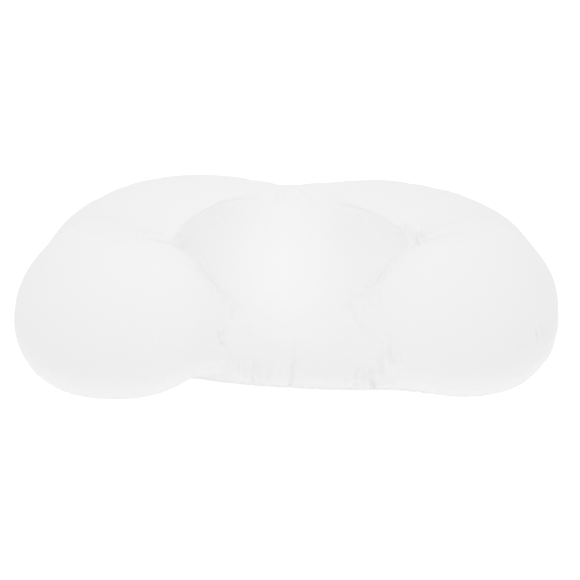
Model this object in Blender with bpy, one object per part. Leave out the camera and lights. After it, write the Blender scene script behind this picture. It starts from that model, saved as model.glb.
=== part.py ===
"""A contoured head pillow: one stuffed body, lying on its back.

Two round lobes stand at the front corners, for a sleeper on their side. Between them runs a low neck roll, behind
it lies an egg-shaped hollow for the head, and two lower wings close the hollow at the back. The cover's panels meet
in seams that run round the lobes and along the back of the hollow.

Frame: +Z up, +X to the pillow's right, +Y from the neck roll to the back. The origin is on the surface that the
pillow rests on, under the middle of its box. Metres.
"""

import math
from collections import namedtuple

import bmesh
import bpy
import numpy as np

# Overall size of the pillow.
WIDTH = 0.630
DEPTH = 0.394

# A stuffed lobe: an ellipsoid that may be squarer than an ellipse in plan, and fuller in height. x, y and z are the
# middle of its girth, rise is from the girth to the crown, drop from the girth down, turn is in degrees and
# anticlockwise from above.
Lobe = namedtuple("Lobe", "x y z half_width half_depth rise drop turn squareness fullness")

BED = Lobe(0.000, 0.017, 0.040, 0.240, 0.151, 0.030, 0.062, 0, 2.4, 2.0)
WINGS = (
    Lobe(-0.129, 0.077, 0.050, 0.150, 0.115, 0.046, 0.070, 19, 1.9, 2.0),
    Lobe(0.153, 0.072, 0.050, 0.144, 0.103, 0.040, 0.070, -21, 2.1, 2.0),
)
NECK_ROLL = Lobe(0.014, -0.068, 0.023, 0.200, 0.072, 0.042, 0.050, -7, 2.6, 1.9)
SIDE_LOBES = (
    Lobe(-0.189, -0.073, 0.056, 0.116, 0.119, 0.070, 0.064, 0, 2.25, 2.1),
    Lobe(0.207, -0.067, 0.054, 0.106, 0.115, 0.068, 0.066, -1, 2.25, 2.1),
)

# The hollow for the head, pressed into the bed, the wings and the neck roll by an egg of this size.
HEAD = Lobe(0.007, 0.014, 0.170, 0.170, 0.156, 0.118, 0.118, 4, 1.3, 2.45)

# How softly neighbours run into each other.
BODY_BLEND = 0.062
NECK_BLEND = 0.036
BASE_BLEND = 0.010

# The rim of the hollow is crisp behind the side lobes and soft in the middle and before them: softness, and where it
# changes, from the middle outwards and from front to back.
RIM_BLEND = 0.008
RIM_BLEND_MIDDLE = 0.040
RIM_FADE_START = 0.020
RIM_FADE_END = 0.110
RIM_BACK_START = -0.020
RIM_BACK_END = 0.030

# The seam round a side lobe is tight at the hollow and opens out at the pillow's ends and beside the neck roll. Low
# down in front it is tighter again, less so on the right.
SEAM_BLEND = 0.007
SEAM_BLEND_SIDE = 0.060
SEAM_BLEND_NECK = 0.040
SEAM_BLEND_BASE = (0.010, 0.034)
SEAM_FADE_START = 0.150
SEAM_FADE_END = 0.270
SEAM_NECK_START = 0.020
SEAM_NECK_END = 0.080
SEAM_RISE_START = 0.006
SEAM_RISE_END = 0.062

# The net of faces that is laid over the form, and the share of the whole size that it starts from.
FACES_WIDE = 50
FACES_DEEP = 32
FACES_HIGH = 9
NET_SHARE = 0.9
EVENING_ROUNDS = 40
FINE_ROUNDS = 6
SEAM_BAND = 0.011
SEAM_LOWEST = 0.020
LEAST_STEEPNESS = 0.05
FLAT_TOLERANCE = 0.0004

COVER_COLOUR = (0.88, 0.88, 0.885, 1.0)
COVER_ROUGHNESS = 0.9


def depth_in_lobe(points, lobe):
    """How deep each point lies under a lobe's surface: above 0 inside, below 0 outside, in metres."""
    turn = math.radians(lobe.turn)
    dx = points[:, 0] - lobe.x
    dy = points[:, 1] - lobe.y
    dz = points[:, 2] - lobe.z
    along = np.abs(dx * math.cos(turn) + dy * math.sin(turn)) / lobe.half_width
    across = np.abs(dy * math.cos(turn) - dx * math.sin(turn)) / lobe.half_depth
    half_height = np.where(dz > 0, lobe.rise, lobe.drop)
    up = np.abs(dz) / half_height
    square, full = lobe.squareness, lobe.fullness
    plan = (along**square + across**square + 1e-12) ** (1 / square)
    reach = (plan**full + up**full) ** (1 / full)
    plan_slope = (plan / reach) ** (full - 1) * plan ** (1 - square)
    slope_along = plan_slope * along ** (square - 1) / lobe.half_width
    slope_across = plan_slope * across ** (square - 1) / lobe.half_depth
    slope_up = (up / reach) ** (full - 1) / half_height
    return (1 - reach) / np.sqrt(slope_along**2 + slope_across**2 + slope_up**2)


def blend_union(a, b, softness):
    """The union of two forms, with a fillet of about that size in the crease."""
    overlap = np.clip(softness - np.abs(a - b), 0, None)
    return np.maximum(a, b) + overlap**2 / (4 * softness)


def blend_cut(a, tool, softness):
    """The first form without the second, its edge rounded by about that size."""
    return -blend_union(-a, tool, softness)


def smooth_step(value, start, end):
    """0 below start, 1 above end, and smooth between."""
    share = np.clip((value - start) / (end - start), 0, 1)
    return share * share * (3 - 2 * share)


def depth_in_middle(points):
    """The bed, the wings and the neck roll as one form, before the hollow is pressed into it."""
    middle = depth_in_lobe(points, BED)
    for wing in WINGS:
        middle = blend_union(middle, depth_in_lobe(points, wing), BODY_BLEND)
    return blend_union(middle, depth_in_lobe(points, NECK_ROLL), NECK_BLEND)


def depth_in_hollowed(points):
    """The middle with its hollow, whose rim is crisp at the sides and soft behind and before the head."""
    from_middle = smooth_step(np.abs(points[:, 0]), RIM_FADE_START, RIM_FADE_END)
    crisp = from_middle * smooth_step(points[:, 1], RIM_BACK_START, RIM_BACK_END)
    rim = RIM_BLEND_MIDDLE + (RIM_BLEND - RIM_BLEND_MIDDLE) * crisp
    return blend_cut(depth_in_middle(points), depth_in_lobe(points, HEAD), rim)


def depth_in_form(points):
    """How deep each point lies under the pillow's surface."""
    body = depth_in_hollowed(points)
    outwards = smooth_step(np.abs(points[:, 0]), SEAM_FADE_START, SEAM_FADE_END)
    forwards = smooth_step(-points[:, 1], SEAM_NECK_START, SEAM_NECK_END)
    upwards = smooth_step(points[:, 2], SEAM_RISE_START, SEAM_RISE_END)
    for lobe, blend_base in zip(SIDE_LOBES, SEAM_BLEND_BASE):
        blend_neck = blend_base + (SEAM_BLEND_NECK - blend_base) * upwards
        seam = SEAM_BLEND + (blend_neck - SEAM_BLEND) * forwards
        seam = seam + (SEAM_BLEND_SIDE - seam) * outwards
        body = blend_union(body, depth_in_lobe(points, lobe), seam)
    return -blend_union(-body, -points[:, 2], BASE_BLEND)


def slope_of_form(points, step=1e-5):
    """The direction in which each point gets deeper, times how fast."""
    slopes = np.empty_like(points)
    for axis in range(3):
        shift = np.zeros(3)
        shift[axis] = step
        slopes[:, axis] = depth_in_form(points + shift) - depth_in_form(points - shift)
    return slopes / (2 * step)


def settle(mesh, rounds=4):
    """Moves every vertex straight on to the form's surface."""
    points = np.array([vertex.co for vertex in mesh.verts])
    for _ in range(rounds):
        slopes = slope_of_form(points)
        steepness = np.clip((slopes**2).sum(axis=1), LEAST_STEEPNESS, None)
        points = points - slopes * (depth_in_form(points) / steepness)[:, None]
    for vertex, point in zip(mesh.verts, points):
        vertex.co = point


def even_out(mesh, rounds):
    """Spaces the vertices evenly over the form."""
    for _ in range(rounds):
        bmesh.ops.smooth_vert(
            mesh, verts=mesh.verts, factor=0.5, use_axis_x=True, use_axis_y=True, use_axis_z=True
        )
        settle(mesh, rounds=1)
    settle(mesh)


def near_seam(points):
    """True where a point lies in the band along a seam: round a side lobe, or on the rim of the hollow."""
    hollowed = depth_in_hollowed(points)
    gaps = [np.abs(hollowed - depth_in_lobe(points, lobe)) for lobe in SIDE_LOBES]
    gaps.append(np.abs(depth_in_middle(points) + depth_in_lobe(points, HEAD)))
    on_top = points[:, 2] > SEAM_LOWEST
    return (np.min(gaps, axis=0) < SEAM_BAND) & on_top


def refine_seams(mesh):
    """Halves the faces along the seams, where the form turns sharply."""
    faces = list(mesh.faces)
    middles = np.array([face.calc_center_median() for face in faces])
    chosen = [face for face, near in zip(faces, near_seam(middles)) if near]
    edges = {edge for face in chosen for edge in face.edges}
    bmesh.ops.subdivide_edges(mesh, edges=list(edges), cuts=1, use_grid_fill=True)


def flatten_base(mesh):
    """Makes the underside one flat face where it touches the surface that it rests on."""
    for vertex in mesh.verts:
        if vertex.co.z < FLAT_TOLERANCE:
            vertex.co.z = 0
    flat = [face for face in mesh.faces if all(vertex.co.z == 0 for vertex in face.verts)]
    bmesh.ops.dissolve_faces(mesh, faces=flat, use_verts=True)


def centre_in_plan(mesh):
    """Puts the origin under the middle of the pillow's box."""
    points = np.array([vertex.co for vertex in mesh.verts])
    middle = (points.min(axis=0) + points.max(axis=0)) / 2
    bmesh.ops.translate(mesh, verts=mesh.verts, vec=(-middle[0], -middle[1], 0))


def net_of_faces():
    """A box cut into a net of even faces, the size of the pillow."""
    mesh = bmesh.new()
    bmesh.ops.create_cube(mesh, size=1)
    for axis, count in enumerate((FACES_WIDE, FACES_DEEP, FACES_HIGH)):
        along = [
            edge
            for edge in mesh.edges
            if abs(edge.verts[0].co[axis] - edge.verts[1].co[axis]) > 0.5
        ]
        bmesh.ops.subdivide_edges(mesh, edges=along, cuts=count - 1, use_grid_fill=True)
    crown = max(lobe.z + lobe.rise for lobe in SIDE_LOBES)
    size = [side * NET_SHARE for side in (WIDTH, DEPTH, crown)]
    bmesh.ops.scale(mesh, vec=size, verts=mesh.verts)
    bmesh.ops.translate(mesh, vec=(0, 0, crown / 2), verts=mesh.verts)
    return mesh


def cover_material():
    """Plain white stretch cloth."""
    material = bpy.data.materials.new("cover")
    material.use_nodes = True
    shader = material.node_tree.nodes["Principled BSDF"]
    shader.inputs["Base Color"].default_value = COVER_COLOUR
    shader.inputs["Roughness"].default_value = COVER_ROUGHNESS
    shader.inputs["Metallic"].default_value = 0
    material.diffuse_color = COVER_COLOUR
    return material


def pillow(collection):
    """The whole pillow, one closed body."""
    net = net_of_faces()
    even_out(net, EVENING_ROUNDS)
    refine_seams(net)
    even_out(net, FINE_ROUNDS)
    flatten_base(net)
    centre_in_plan(net)
    bmesh.ops.recalc_face_normals(net, faces=net.faces)
    mesh = bpy.data.meshes.new("pillow")
    net.to_mesh(mesh)
    net.free()
    mesh.shade_smooth()
    mesh.materials.append(cover_material())
    body = bpy.data.objects.new("pillow", mesh)
    collection.objects.link(body)
    return body


def main():
    for old in list(bpy.data.objects):
        bpy.data.objects.remove(old)
    collection = bpy.data.collections.new("head_pillow")
    bpy.context.scene.collection.children.link(collection)
    pillow(collection)


main()
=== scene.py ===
import math

import bmesh
import bpy
import numpy as np
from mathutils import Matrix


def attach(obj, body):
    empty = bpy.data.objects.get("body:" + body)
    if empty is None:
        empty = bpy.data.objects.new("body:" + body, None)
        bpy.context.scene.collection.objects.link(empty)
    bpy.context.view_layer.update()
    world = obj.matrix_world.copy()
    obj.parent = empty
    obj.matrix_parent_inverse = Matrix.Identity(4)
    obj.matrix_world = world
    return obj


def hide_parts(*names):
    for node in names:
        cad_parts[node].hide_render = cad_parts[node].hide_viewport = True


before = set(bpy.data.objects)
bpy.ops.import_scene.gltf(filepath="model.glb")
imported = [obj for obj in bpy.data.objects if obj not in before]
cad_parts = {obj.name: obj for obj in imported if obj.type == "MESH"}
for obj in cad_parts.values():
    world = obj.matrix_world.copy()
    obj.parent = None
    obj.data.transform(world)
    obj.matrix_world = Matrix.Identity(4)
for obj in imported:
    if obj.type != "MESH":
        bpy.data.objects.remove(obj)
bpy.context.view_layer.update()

# Camera
# A long lens in front of the neck roll, looking down at the pillow, as the photograph was taken.

VIEW_HEIGHT_DEGREES = 38.0
VIEW_DISTANCE = 2.0
VIEW_TARGET = (0.0, 0.0, 0.05)
LENS = 104.5
SENSOR = 36.0
SHIFT_ACROSS = 0.005
SHIFT_UP = -0.018
PICTURE_SIDE = 580

view_slant = math.radians(VIEW_HEIGHT_DEGREES)
towards_camera = np.array((0.0, -math.cos(view_slant), math.sin(view_slant)))
camera_place = np.array(VIEW_TARGET) + towards_camera * VIEW_DISTANCE
camera = bpy.data.objects.new("camera", bpy.data.cameras.new("camera"))
bpy.context.scene.collection.objects.link(camera)
camera.data.lens = LENS
camera.data.sensor_width = SENSOR
camera.data.shift_x = SHIFT_ACROSS
camera.data.shift_y = SHIFT_UP
camera.data.clip_end = 20
camera.location = camera_place
camera.rotation_euler = (math.radians(90) - view_slant, 0, 0)
bpy.context.scene.camera = camera

# Pillow
# One bag of fine white stretch knit, stuffed firmly with fibre. Its lobes, neck roll and wings are panels,
# sewn edge to edge from the inside. Each seam draws in as a narrow valley, and the panels gather where a long
# edge meets a short one. A flat base panel closes the bag underneath.

# The panels' stuffed forms, as the pillow was drawn: middle of the girth (x, y, z), half width, half depth,
# rise to the crown, drop below the girth, turn in degrees, squareness in plan and fullness in height. The head
# is an egg that presses the hollow in from above.
BED = (0.000, 0.017, 0.040, 0.240, 0.151, 0.030, 0.062, 0, 2.4, 2.0)
LEFT_WING = (-0.129, 0.077, 0.050, 0.150, 0.115, 0.046, 0.070, 19, 1.9, 2.0)
RIGHT_WING = (0.153, 0.072, 0.050, 0.144, 0.103, 0.040, 0.070, -21, 2.1, 2.0)
NECK_ROLL = (0.014, -0.068, 0.023, 0.200, 0.072, 0.042, 0.050, -7, 2.6, 1.9)
LEFT_LOBE = (-0.189, -0.073, 0.056, 0.116, 0.119, 0.070, 0.064, 0, 2.25, 2.1)
RIGHT_LOBE = (0.207, -0.067, 0.054, 0.106, 0.115, 0.068, 0.066, -1, 2.25, 2.1)
HEAD = (0.007, 0.014, 0.170, 0.170, 0.156, 0.118, 0.118, 4, 1.3, 2.45)

# The middle of the drawn pillow's box, which the frame puts at the origin.
DRAWN_CENTRE = (0.0046, 0.0048, 0.0)

# How softly the panels run into each other: nearly sharp where a seam is drawn in tight.
BODY_BLEND = 0.062
NECK_BLEND = 0.036
BASE_BLEND = 0.010
TIGHT_BLEND = 0.003
RIM_BLEND_MIDDLE = 0.040
LOBE_BLEND_OUTSIDE = 0.060
LOBE_BLEND_NECK = 0.040
LEFT_BLEND_BASE = 0.016
RIGHT_BLEND_BASE = 0.030

# Where the rim and the lobes' seams change from tight to soft: from and to, in metres.
RIM_FADE_LEFT = (-0.085, -0.010)
RIM_FADE_RIGHT = (0.045, 0.110)
RIM_FADE_FRONT = (-0.020, 0.030)
LOBE_FADE_OUTSIDE = (0.150, 0.270)
LOBE_FADE_NECK = (0.020, 0.060)
LOBE_FADE_RAISED = (0.006, 0.062)


def smooth_step(value, start, end):
    """0 before start, 1 after end, and smooth between."""
    share = np.clip((value - start) / (end - start), 0, 1)
    return share * share * (3 - 2 * share)


def depth_in(form, points):
    """How deep each point lies under a stuffed form's surface, in metres, and below 0 outside it."""
    x, y, z, half_width, half_depth, rise, drop, turn, square, full = form
    turn = math.radians(turn)
    dx, dy, dz = (points - (x, y, z)).T
    along = np.abs(dx * math.cos(turn) + dy * math.sin(turn)) / half_width
    across = np.abs(dy * math.cos(turn) - dx * math.sin(turn)) / half_depth
    half_height = np.where(dz > 0, rise, drop)
    up = np.abs(dz) / half_height
    plan = (along**square + across**square + 1e-12) ** (1 / square)
    reach = (plan**full + up**full) ** (1 / full)
    plan_slope = (plan / reach) ** (full - 1) * plan ** (1 - square)
    slope_along = plan_slope * along ** (square - 1) / half_width
    slope_across = plan_slope * across ** (square - 1) / half_depth
    slope_up = (up / reach) ** (full - 1) / half_height
    return (1 - reach) / np.sqrt(slope_along**2 + slope_across**2 + slope_up**2)


def joined(a, b, softness):
    """Two forms as one, with the valley between them filled softly."""
    overlap = np.clip(softness - np.abs(a - b), 0, None)
    return np.maximum(a, b) + overlap**2 / (4 * softness)


def middle_panel(points):
    """The bed, the wings and the neck roll as one form."""
    middle = joined(depth_in(BED, points), depth_in(LEFT_WING, points), BODY_BLEND)
    middle = joined(middle, depth_in(RIGHT_WING, points), BODY_BLEND)
    return joined(middle, depth_in(NECK_ROLL, points), NECK_BLEND)


def rim_sharpness(points):
    """1 where the rim of the hollow is a sharp edge, behind the lobes, and 0 where it is soft."""
    left = 1 - smooth_step(points[:, 0], *RIM_FADE_LEFT)
    right = smooth_step(points[:, 0], *RIM_FADE_RIGHT)
    return (left + right) * smooth_step(points[:, 1], *RIM_FADE_FRONT)


def hollowed(points):
    """The middle panel with the hollow for the head pressed into it."""
    softness = RIM_BLEND_MIDDLE + (TIGHT_BLEND - RIM_BLEND_MIDDLE) * rim_sharpness(points)
    return -joined(-middle_panel(points), depth_in(HEAD, points), softness)


def stuffed_form(points):
    """How deep each point lies under the whole pillow's surface."""
    body = hollowed(points)
    outside = smooth_step(np.abs(points[:, 0]), *LOBE_FADE_OUTSIDE)
    beside_neck = smooth_step(-points[:, 1], *LOBE_FADE_NECK)
    raised = smooth_step(points[:, 2], *LOBE_FADE_RAISED)
    for lobe, base_blend in ((LEFT_LOBE, LEFT_BLEND_BASE), (RIGHT_LOBE, RIGHT_BLEND_BASE)):
        neck_blend = base_blend + (LOBE_BLEND_NECK - base_blend) * raised
        softness = TIGHT_BLEND + (neck_blend - TIGHT_BLEND) * beside_neck
        softness += (LOBE_BLEND_OUTSIDE - softness) * outside
        body = joined(body, depth_in(lobe, points), softness)
    return -joined(-body, -points[:, 2], BASE_BLEND)


def left_seam(points):
    """Above 0 on the middle panel's side of the seam round the left lobe, and below 0 on the lobe."""
    return np.minimum(middle_panel(points), -depth_in(HEAD, points)) - depth_in(LEFT_LOBE, points)


def right_seam(points):
    """Above 0 on the middle panel's side of the seam round the right lobe, and below 0 on the lobe."""
    return np.minimum(middle_panel(points), -depth_in(HEAD, points)) - depth_in(RIGHT_LOBE, points)


def rim_seam(points):
    """Above 0 in the hollow, and below 0 outside its rim."""
    return middle_panel(points) + depth_in(HEAD, points)


def slope_of(field, points, step=0.0004):
    """The direction in which a field grows at each point, times how fast."""
    slope = np.empty_like(points)
    for axis in range(3):
        shift = np.zeros(3)
        shift[axis] = step
        slope[:, axis] = (field(points + shift) - field(points - shift)) / (2 * step)
    return slope


def points_of(mesh):
    """Where a mesh's points are, one row for each."""
    places = np.empty(len(mesh.vertices) * 3)
    mesh.vertices.foreach_get("co", places)
    return places.reshape(-1, 3)


def normals_of(mesh):
    """Which way a mesh faces at each point."""
    directions = np.empty(len(mesh.vertices) * 3)
    mesh.vertex_normals.foreach_get("vector", directions)
    return directions.reshape(-1, 3)


def put_points(mesh, places):
    """Moves a mesh's points to new places."""
    mesh.vertices.foreach_set("co", places.ravel())
    mesh.update()


def across_seam(field, points, normals):
    """Each point's distance along the surface from a seam, with the side it lies on as its sign."""
    drawn = points + DRAWN_CENTRE
    slope = slope_of(field, drawn)
    slope -= normals * (slope * normals).sum(axis=1)[:, None]
    steepness = np.clip(np.linalg.norm(slope, axis=1), 0.25, None)
    return field(drawn) / steepness


def settle(mesh, rounds):
    """Moves every point of a mesh straight on to the stuffed form."""
    places = points_of(mesh) + DRAWN_CENTRE
    for settling in range(rounds):
        slope = slope_of(stuffed_form, places)
        steepness = np.clip((slope**2).sum(axis=1), 0.05, None)
        places = places - slope * (stuffed_form(places) / steepness)[:, None]
    put_points(mesh, places - DRAWN_CENTRE)


def even_out(net):
    """Spaces the points of a net more evenly."""
    bmesh.ops.smooth_vert(
        net, verts=net.verts, factor=0.5, use_axis_x=True, use_axis_y=True, use_axis_z=True
    )


# The bag as it is cut and sewn: an even net over the solid's own surface.
BAG_NET_STEP = 0.006
MERGE_DISTANCE = 0.00001
EVENING_ROUNDS = 3

blank = bpy.data.objects.new("pillow_blank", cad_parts["pillow"].data.copy())
bpy.context.scene.collection.objects.link(blank)
cover = bmesh.new()
cover.from_mesh(blank.data)
bmesh.ops.remove_doubles(cover, verts=cover.verts, dist=MERGE_DISTANCE)
cover.to_mesh(blank.data)
cover.free()
remesh = blank.modifiers.new("even net", "REMESH")
remesh.mode = "VOXEL"
remesh.voxel_size = BAG_NET_STEP
bpy.context.view_layer.update()
bag = bpy.data.meshes.new_from_object(blank.evaluated_get(bpy.context.evaluated_depsgraph_get()))
bpy.data.objects.remove(blank)
cover = bmesh.new()
cover.from_mesh(bag)
for evening in range(EVENING_ROUNDS):
    even_out(cover)
cover.to_mesh(bag)
settle(bag, 3)

# Stuffing: the slack bag, cut a little roomy, is blown out against its seams, its base and the hollow, which
# hold it. What counts is how far each point of the cloth swells beyond its surroundings.
SLACK = 0.0020
ROOMINESS = 0.015
CLOTH_MASS = 0.02
STRETCH_STIFFNESS = 80
SHEAR_STIFFNESS = 27
BENDING_STIFFNESS = 0.5
STUFFING_PRESSURE = 6.0
STUFFING_QUALITY = 5
STUFFING_STEPS = 20
MOST_SWELL = 0.0008
SURROUNDING_STEPS = 60

# Where the bag is held, and lets go: from and to, in metres.
HELD_BESIDE_SEAM = (0.00225, 0.0090)
HELD_BY_HOLLOW = (-0.060, -0.020)
HELD_IN_HOLLOW = (-0.006, 0.014)
HELD_AT_BASE = (0.003, 0.020)
HELD_HALF_WIDTH = 0.2

places = points_of(bag)
normals = normals_of(bag)
swell = np.zeros(len(places))
drawn = places + DRAWN_CENTRE
lobe_seams = [np.abs(across_seam(seam, places, normals)) for seam in (left_seam, right_seam)]
sewn = 1 - smooth_step(np.min(lobe_seams, axis=0), *HELD_BESIDE_SEAM)
sewn = sewn * smooth_step(drawn[:, 1], *HELD_BY_HOLLOW) * (np.abs(drawn[:, 0]) < HELD_HALF_WIDTH)
in_hollow = np.minimum(rim_seam(drawn), np.minimum(left_seam(drawn), right_seam(drawn)))
held = np.maximum(sewn, smooth_step(in_hollow, *HELD_IN_HOLLOW))
held = np.maximum(held, 1 - smooth_step(places[:, 2], *HELD_AT_BASE))
slack_mesh = bag.copy()
put_points(slack_mesh, places - normals * (SLACK * (1 - held))[:, None])
slack_bag = bpy.data.objects.new("slack_bag", slack_mesh)
bpy.context.scene.collection.objects.link(slack_bag)
held_group = slack_bag.vertex_groups.new(name="held")
for index, firmness in enumerate(held):
    held_group.add([index], float(firmness), "REPLACE")
stuffing = slack_bag.modifiers.new("stuffing", "CLOTH")
stuffing.settings.quality = STUFFING_QUALITY
stuffing.settings.mass = CLOTH_MASS
stuffing.settings.tension_stiffness = STRETCH_STIFFNESS
stuffing.settings.compression_stiffness = STRETCH_STIFFNESS
stuffing.settings.shear_stiffness = SHEAR_STIFFNESS
stuffing.settings.bending_stiffness = BENDING_STIFFNESS
stuffing.settings.shrink_min = -ROOMINESS
stuffing.settings.use_pressure = True
stuffing.settings.uniform_pressure_force = STUFFING_PRESSURE
stuffing.settings.vertex_group_mass = "held"
stuffing.settings.effector_weights.gravity = 0
stuffing.point_cache.frame_start = 1
stuffing.point_cache.frame_end = STUFFING_STEPS
for moment in range(1, STUFFING_STEPS + 1):
    bpy.context.scene.frame_set(moment)
stuffed = slack_bag.evaluated_get(bpy.context.evaluated_depsgraph_get())
swell = ((points_of(stuffed.data) - places) * normals).sum(axis=1)
edge_ends = np.empty(len(bag.edges) * 2, dtype=int)
bag.edges.foreach_get("vertices", edge_ends)
one_end, other_end = edge_ends.reshape(-1, 2).T
neighbours = np.bincount(edge_ends, minlength=len(places))
around = swell
for spreading in range(SURROUNDING_STEPS):
    total = np.bincount(one_end, around[other_end], len(places))
    total += np.bincount(other_end, around[one_end], len(places))
    around = total / neighbours
swell = MOST_SWELL * np.tanh((swell - around) / MOST_SWELL)
bpy.context.scene.frame_set(1)
bpy.data.objects.remove(slack_bag)

# Folds in the cloth where it is gathered, as they show in the picture: where each starts and where it ends,
# in pixels across and down, its half width in pixels and its depth in millimetres.
FOLDS = (
    # the seam at the left end of the neck roll
    (218.0, 329, 219.6, 337, 1.5, 1.4),
    (219.6, 336, 222.4, 346, 1.4, 1.2),
    (211.5, 342, 212.5, 352, 1.3, 0.4),
    (226.0, 343, 229.0, 360, 2.2, 1.0),
    (236.0, 352, 237.5, 374, 1.8, 0.5),
    # left of the middle
    (243.5, 360, 244.0, 379, 1.7, 0.8),
    (255.0, 352, 251.5, 384, 1.6, 1.0),
    (260.0, 356, 258.0, 384, 1.4, 0.7),
    (268.2, 360, 267.5, 385, 1.4, 0.8),
    # the middle
    (295.4, 335, 294.4, 353, 1.4, 0.7),
    (294.6, 351, 290.4, 387, 1.5, 1.3),
    (296.0, 340, 293.0, 387, 7.0, 0.8),
    # right of the middle
    (349.0, 368, 347.5, 387, 1.6, 0.5),
    (359.0, 361, 355.0, 387, 1.7, 1.1),
    (366.0, 362, 363.0, 387, 1.6, 0.8),
    (369.5, 362, 373.0, 388, 2.4, 1.3),
    (373.5, 378, 373.5, 389, 2.0, 1.6),
    # the seam at the right end of the neck roll
    (379.8, 345, 382.0, 376, 1.8, 1.3),
    (387.0, 340, 391.5, 364, 1.8, 1.4),
    (388.5, 333, 390.5, 341, 3.4, 1.0),
    (396.0, 346, 399.0, 366, 1.6, 0.4),
    # the corner where the right wing meets the rim of the hollow
    (400.6, 221, 403.8, 233, 1.4, 0.9),
    (405.6, 219, 408.2, 236, 1.4, 0.8),
    (411.2, 221, 413.6, 241, 1.4, 0.9),
    (416.2, 228, 418.6, 246, 1.6, 1.5),
    (423.0, 226, 421.4, 245, 1.4, 0.9),
    (427.6, 230, 424.6, 244, 1.4, 0.5),
    # the right end
    (534.0, 319, 539.0, 345, 1.5, 0.9),
    (540.0, 318, 545.5, 346, 1.5, 1.0),
    (544.0, 315, 549.0, 341, 1.4, 0.9),
    (548.5, 312, 552.6, 335, 1.4, 0.9),
    (553.0, 297, 555.2, 324, 1.2, 0.6),
)

# Cloth rises beside each fold, at so many half widths from it. A fold deepens and ends over these shares of its
# length, and only the side of the pillow that faces the camera has it.
RIDGE_SHARE = 0.7
RIDGE_DISTANCE = 1.9
FOLD_START = (-0.05, 0.45)
FOLD_END = (0.9, 1.1)
FOLD_REACH = 2.8
FACING = (-0.10, 0.15)

# Pockets, where the rim and a lobe's seam draw the hollow's corner in, and the hollow runs on under the lobe,
# listed as the folds are. Each gets shallower towards its end.
POCKETS = (
    (190, 250, 206, 274, 12, 3.5),
    (402, 245, 386, 266, 9, 2.0),
)
POCKET_FALL = 0.5
POCKET_EDGE = 0.004


def picture_place(points):
    """Where each point shows in the picture, in pixels across and down."""
    seen = points - camera_place
    picture_up = np.array((0.0, math.sin(view_slant), math.cos(view_slant)))
    away = -(seen @ towards_camera)
    across = (seen[:, 0] / away * LENS / SENSOR - SHIFT_ACROSS) * PICTURE_SIDE
    down = (seen @ picture_up / away * LENS / SENSOR - SHIFT_UP) * PICTURE_SIDE
    return np.stack([PICTURE_SIDE / 2 + across, PICTURE_SIDE / 2 - down], axis=1)


def along_and_beside(shown, x0, y0, x1, y1):
    """How far along a stroke in the picture each point is, from 0 to 1, and how many pixels from it."""
    start = np.array((x0, y0))
    run = np.array((x1, y1)) - start
    share = ((shown - start) @ run) / (run @ run)
    return share, np.linalg.norm(shown - start - np.clip(share, 0, 1)[:, None] * run, axis=1)


def near_folds(points, normals):
    """How deep each point lies in the folds, in metres, and whether it lies near one, from 0 to 1."""
    shown = picture_place(points)
    facing = smooth_step(normals @ towards_camera, *FACING)
    depth = np.zeros(len(points))
    nearness = np.zeros(len(points))
    for x0, y0, x1, y1, half_width, fold_depth in FOLDS:
        share, away = along_and_beside(shown, x0, y0, x1, y1)
        away = away / half_width
        fade = smooth_step(share, *FOLD_START) * (1 - smooth_step(share, *FOLD_END))
        valley = np.exp(-(away**2))
        ridge = np.exp(-((away - RIDGE_DISTANCE) ** 2))
        depth += (valley - RIDGE_SHARE * ridge) * fade * facing * fold_depth / 1000
        nearness = np.maximum(nearness, (away < FOLD_REACH) * facing)
    return depth, nearness


def near_pockets(points):
    """How deep each point of the hollow lies in its pockets, in metres."""
    drawn = points + DRAWN_CENTRE
    inside = np.minimum(rim_seam(drawn), np.minimum(left_seam(drawn), right_seam(drawn)))
    shown = picture_place(points)
    depth = np.zeros(len(points))
    for x0, y0, x1, y1, half_width, pocket_depth in POCKETS:
        share, away = along_and_beside(shown, x0, y0, x1, y1)
        fall = 1 - POCKET_FALL * np.clip(share, 0, 1)
        depth += np.exp(-((away / half_width) ** 2)) * fall * pocket_depth / 1000
    return depth * smooth_step(inside, 0, POCKET_EDGE)


# Each face of the net is cut in four, and in sixteen where seams and folds run. The underside stays coarser.
FINE_BAND = 0.0056
LOWEST_SEAM = 0.02
UNDERSIDE_HEIGHT = 0.003
BASE_SEAM_BAND = 0.0138

swell_layer = cover.verts.layers.float.new("swell")
for vertex, height in zip(cover.verts, swell):
    vertex[swell_layer] = height
bmesh.ops.subdivide_edges(cover, edges=cover.edges, cuts=1, use_grid_fill=True)
cover.to_mesh(bag)
settle(bag, 2)
places = points_of(bag)
normals = normals_of(bag)
seams = [np.abs(across_seam(seam, places, normals)) for seam in (left_seam, right_seam, rim_seam)]
chosen = (np.min(seams, axis=0) < FINE_BAND) & (places[:, 2] > LOWEST_SEAM)
chosen |= near_folds(places, normals)[1] > 0.5
chosen |= (places[:, 2] < BASE_SEAM_BAND) & (places[:, 2] > UNDERSIDE_HEIGHT)
for vertex, place in zip(cover.verts, places):
    vertex.co = place
fine_edges = [edge for edge in cover.edges if all(chosen[vertex.index] for vertex in edge.verts)]
bmesh.ops.subdivide_edges(cover, edges=fine_edges, cuts=1, use_grid_fill=True)
even_out(cover)
cover.to_mesh(bag)
cover.free()
settle(bag, 3)
swell = np.empty(len(bag.vertices))
bag.attributes["swell"].data.foreach_get("value", swell)
bag.attributes.remove(bag.attributes["swell"])

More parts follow.
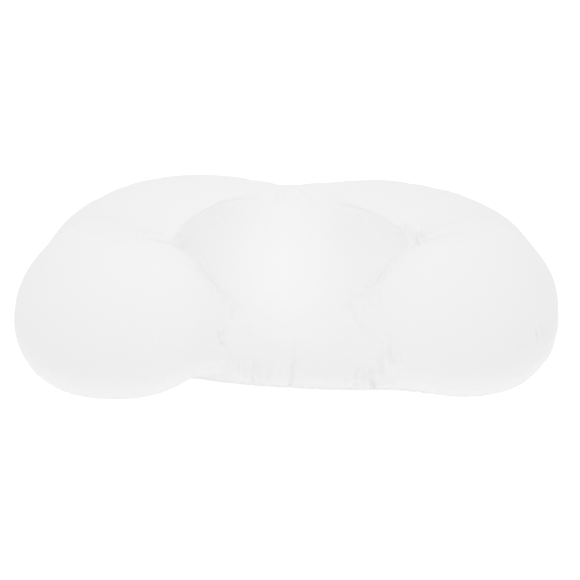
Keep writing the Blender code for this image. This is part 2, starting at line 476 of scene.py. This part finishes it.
# Seams: a narrow valley, deepest where the seam is pulled tight at the hollow, fading out where the panels lie
# flat, with small puckers beside it. The base seam runs all round, just above the surface the pillow rests on.
SEAM_HALF_WIDTH = 0.0016
SEAM_DEPTH = 0.0005
BASE_SEAM_HEIGHT = 0.0105
BASE_SEAM_HALF_WIDTH = 0.0014
BASE_SEAM_DEPTH = 0.0006
BASE_SEAM_RADIUS = 0.26
# The base seam's painted shade, as a share of the painted shade along the other seams.
BASE_SEAM_SHADE_SHARE = 0.5
PUCKER_PITCH = 0.0085
PUCKER_REACH = 0.008
PUCKER_HEIGHT = 0.00022

# Where each seam begins or ceases to show: from and to, in metres.
SHOWN_ABOVE = (0.004, 0.016)
SHOWN_BY_HOLLOW = (-0.060, -0.020)
LEFT_SHOWN = (-0.190, -0.130)
RIGHT_SHOWN = (0.140, 0.240)
RIM_SHOWN = (0.020, 0.050)
BASE_SHOWN_ABOVE = (0.002, 0.005)


def puckers(course, pitch):
    """Small uneven waves along a seam, from -1 to 1, by how far along it each point is."""
    phase = course / pitch + 0.35 * np.sin(course / 0.0113) + 0.5 * np.sin(course / 0.0310)
    return np.sin(2 * math.pi * phase) * (0.6 + 0.4 * np.sin(course / 0.0180))


places = points_of(bag)
normals = normals_of(bag)
x, y, z = places.T
upper = smooth_step(z, *SHOWN_ABOVE)
seam_pull = np.zeros(len(places))
pucker = np.zeros(len(places))
by_hollow = smooth_step(y, *SHOWN_BY_HOLLOW)
shows = (
    (left_seam, LEFT_LOBE, smooth_step(x, *LEFT_SHOWN) * by_hollow),
    (right_seam, RIGHT_LOBE, (1 - smooth_step(x, *RIGHT_SHOWN)) * by_hollow),
    (rim_seam, HEAD, rim_sharpness(places + DRAWN_CENTRE) * smooth_step(y, *RIM_SHOWN)),
)
for seam, panel, strength in shows:
    away = across_seam(seam, places, normals)
    course = np.arctan2(y - panel[1], x - panel[0]) * panel[4]
    seam_pull = np.maximum(seam_pull, np.exp(-((away / SEAM_HALF_WIDTH) ** 2)) * strength * upper)
    pucker += puckers(course, PUCKER_PITCH) * np.exp(-np.abs(away) / PUCKER_REACH) * strength * upper
wall = smooth_step(z, *BASE_SHOWN_ABOVE)
base_line = np.exp(-(((z - BASE_SEAM_HEIGHT) / BASE_SEAM_HALF_WIDTH) ** 2)) * wall
base_course = np.arctan2(y, x) * BASE_SEAM_RADIUS
base_away = np.abs(z - BASE_SEAM_HEIGHT)
pucker += puckers(base_course, PUCKER_PITCH) * np.exp(-base_away / PUCKER_REACH) * wall
fold_depth = near_folds(places, normals)[0] + near_pockets(places)
seam_depth = SEAM_DEPTH * seam_pull + BASE_SEAM_DEPTH * base_line
height = swell + PUCKER_HEIGHT * pucker - seam_depth - fold_depth
places = places + normals * height[:, None]
places[:, 2] = np.clip(places[:, 2], 0, None)
put_points(bag, places)
# Painted shade: this mask darkens the cloth's colour along the seams' valleys, and along the base seam at a
# share of that, standing in for the shade that falls in them.
seam_shade_mask = bag.attributes.new("seam_shade_mask", "FLOAT", "POINT")
seam_shade_mask.data.foreach_set("value", np.maximum(seam_pull, BASE_SEAM_SHADE_SHARE * base_line))

pillow = bpy.data.objects.new("stuffed_pillow", bag)
bpy.context.scene.collection.objects.link(pillow)
bag.shade_smooth()

# Cover cloth: bright white fine-gauge stretch knit, quite matt, with a faint nap. The loops stand about 0.9 mm
# apart. Along the seams the colour is painted darker, as painted shade for their valleys.
LOOP_PITCH = 0.0009
LOOP_HEIGHT = 0.00006
LOOP_STRENGTH = 0.4
CLOTH_WHITE = (0.806, 0.806, 0.812, 1)
# The colour of the painted shade along the seams.
PAINTED_SEAM_SHADE = (0.760, 0.760, 0.768, 1)

cloth = bpy.data.materials.new("white_knit")
cloth.use_nodes = True
nodes = cloth.node_tree.nodes
links = cloth.node_tree.links
shader = nodes["Principled BSDF"]
shader.inputs["Roughness"].default_value = 0.95
shader.inputs["Specular IOR Level"].default_value = 0.15
shader.inputs["Sheen Weight"].default_value = 0.04
shader.inputs["Sheen Roughness"].default_value = 0.6
place = nodes.new("ShaderNodeTexCoord")
scale = nodes.new("ShaderNodeVectorMath")
scale.operation = "SCALE"
scale.inputs["Scale"].default_value = 2 * math.pi / LOOP_PITCH
links.new(place.outputs["Object"], scale.inputs[0])
loops = nodes.new("ShaderNodeVectorMath")
loops.operation = "SINE"
links.new(scale.outputs[0], loops.inputs[0])
relief = nodes.new("ShaderNodeVectorMath")
relief.operation = "DOT_PRODUCT"
relief.inputs[1].default_value = (0.33, 0.33, 0.33)
links.new(loops.outputs[0], relief.inputs[0])
bump = nodes.new("ShaderNodeBump")
bump.inputs["Strength"].default_value = LOOP_STRENGTH
bump.inputs["Distance"].default_value = LOOP_HEIGHT
links.new(relief.outputs["Value"], bump.inputs["Height"])
links.new(bump.outputs["Normal"], shader.inputs["Normal"])
# Painted shade: the seam mask mixes the darker colour into the cloth's colour along the seams.
seam_shade_input = nodes.new("ShaderNodeAttribute")
seam_shade_input.attribute_name = "seam_shade_mask"
shade_mix = nodes.new("ShaderNodeMix")
shade_mix.data_type = "RGBA"
shade_mix.inputs[6].default_value = CLOTH_WHITE
shade_mix.inputs[7].default_value = PAINTED_SEAM_SHADE
links.new(seam_shade_input.outputs["Fac"], shade_mix.inputs[0])
links.new(shade_mix.outputs[2], shader.inputs["Base Color"])
bag.materials.clear()
bag.materials.append(cloth)

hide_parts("pillow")
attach(pillow, "root")

# Floor and light
# A white paper sweep that shows pure white, under an even white sky, with a soft round light overhead and a
# narrow soft one that brings out the hollow.

SKY_STRENGTH = 0.99
TOP_LIGHT_WATTS = 0.65
TOP_LIGHT_SIZE = 0.5
TOP_LIGHT_PLACE = (-0.03, 0, 0.8)
HOLLOW_LIGHT_WATTS = 3.6
HOLLOW_LIGHT_PLACE = (-0.004, 0.030, 1.2)
HOLLOW_LIGHT_REACH = 0.16
HOLLOW_LIGHT_SQUEEZE = 0.38
HOLLOW_LIGHT_SOFTNESS = 0.05
SWEEP_HALF_SIDE = 8
SWEEP_GLOW = 0.55
SWEEP_GREY = 0.60

bpy.context.scene.view_settings.view_transform = "Standard"
sky = bpy.data.worlds.new("sky")
bpy.context.scene.world = sky
sky.use_nodes = True
sky.node_tree.nodes["Background"].inputs["Color"].default_value = (1, 1, 1, 1)
sky.node_tree.nodes["Background"].inputs["Strength"].default_value = SKY_STRENGTH

top = bpy.data.lights.new("top light", "AREA")
top.shape = "DISK"
top.size = TOP_LIGHT_SIZE
top.energy = TOP_LIGHT_WATTS
top_light = bpy.data.objects.new("top light", top)
top_light.location = TOP_LIGHT_PLACE
bpy.context.scene.collection.objects.link(top_light)

hollow_lamp = bpy.data.lights.new("hollow light", "SPOT")
hollow_lamp.energy = HOLLOW_LIGHT_WATTS
hollow_lamp.spot_size = 2 * math.atan(HOLLOW_LIGHT_REACH / HOLLOW_LIGHT_PLACE[2])
hollow_lamp.spot_blend = 1.0
hollow_lamp.shadow_soft_size = HOLLOW_LIGHT_SOFTNESS
hollow_light = bpy.data.objects.new("hollow light", hollow_lamp)
hollow_light.location = HOLLOW_LIGHT_PLACE
hollow_light.scale = (HOLLOW_LIGHT_SQUEEZE, 1, 1)
bpy.context.scene.collection.objects.link(hollow_light)

floor_mesh = bpy.data.meshes.new("floor")
sweep = bmesh.new()
bmesh.ops.create_grid(sweep, x_segments=1, y_segments=1, size=SWEEP_HALF_SIDE)
sweep.to_mesh(floor_mesh)
sweep.free()
floor = bpy.data.objects.new("floor", floor_mesh)
bpy.context.scene.collection.objects.link(floor)
paper = bpy.data.materials.new("white_sweep")
paper.use_nodes = True
paper_shader = paper.node_tree.nodes["Principled BSDF"]
paper_shader.inputs["Base Color"].default_value = (SWEEP_GREY, SWEEP_GREY, SWEEP_GREY, 1)
paper_shader.inputs["Roughness"].default_value = 1.0
paper_shader.inputs["Specular IOR Level"].default_value = 0.0
paper_shader.inputs["Emission Color"].default_value = (1, 1, 1, 1)
paper_shader.inputs["Emission Strength"].default_value = SWEEP_GLOW
floor_mesh.materials.append(paper)
